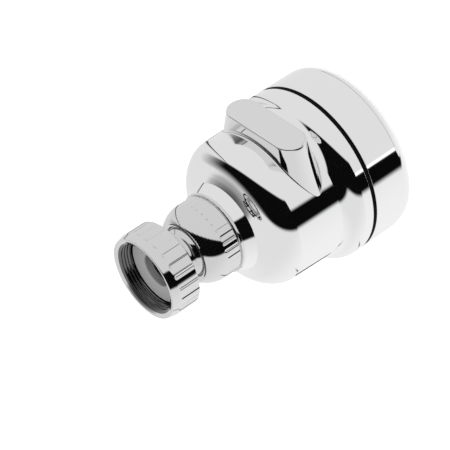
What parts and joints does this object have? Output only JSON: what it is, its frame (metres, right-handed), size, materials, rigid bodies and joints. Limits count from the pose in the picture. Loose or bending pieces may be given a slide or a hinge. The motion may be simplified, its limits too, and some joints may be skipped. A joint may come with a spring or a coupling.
{
  "type": "swivel faucet aerator",
  "caption": "Chromed tap outlet with a union nut, a ball joint and a bell-shaped spray head that turns to change the jet.",
  "frame": {"origin": "centre of the front rim's plane, on the spray axis", "axes": "+Z along the spray axis towards the tap, +X towards the finger tab"},
  "size_m": [0.055, 0.055, 0.0793],
  "materials": {
    "chrome_plate": "mirror plated",
    "polished_stem": "mirror plated",
    "grey_washer": "matt",
    "white_acetal": "moulded",
    "black_rubber": "matt",
    "black_plastic": "moulded",
    "stainless_steel": "bright",
    "grey_silicone": "matt"
  },
  "bodies": {
    "union_nut": {"union_nut": "chrome_plate"},
    "ball_stem": {"ball_stem": "polished_stem", "sealing_washer": "grey_washer"},
    "ball_seat": {"ball_seat": "white_acetal", "ball_seal": "black_rubber"},
    "bell": {"socket_collar": "chrome_plate", "bell_housing": "chrome_plate", "port_plate": "white_acetal", "plate_seal": "black_rubber", "port_seal": "black_rubber", "port_spring": "stainless_steel", "detent_ball": "stainless_steel", "detent_spring": "stainless_steel", "pivot_screw": "stainless_steel", "pivot_washer": "stainless_steel"},
    "front": {"selector_cup": "white_acetal", "cup_seal": "black_rubber", "front_ring": "chrome_plate", "slip_ring": "black_plastic", "spray_plate": "black_plastic", "nozzle_mat": "grey_silicone", "aerator_housing": "white_acetal", "outlet_grid": "stainless_steel", "mixing_insert": "black_plastic", "flow_regulator": "white_acetal"}
  },
  "joints": [
    {"name": "nut_spin", "type": "hinge", "parent": "union_nut", "child": "ball_stem", "pos_m": [0, 0, 0.0703], "axis": [0, 0, 1], "continuous": true},
    {"name": "ball_tilt", "type": "hinge", "parent": "ball_stem", "child": "ball_seat", "pos_m": [0, 0, 0.06], "axis": [1, 0, 0], "range_deg": [-15, 15]},
    {"name": "head_spin", "type": "hinge", "parent": "ball_seat", "child": "bell", "pos_m": [0, 0, 0.06], "axis": [0, 0, 1], "continuous": true},
    {"name": "mode_turn", "type": "hinge", "parent": "bell", "child": "front", "pos_m": [0, 0, 0.034], "axis": [0, 0, 1], "range_deg": [0, 90]}
  ]
}
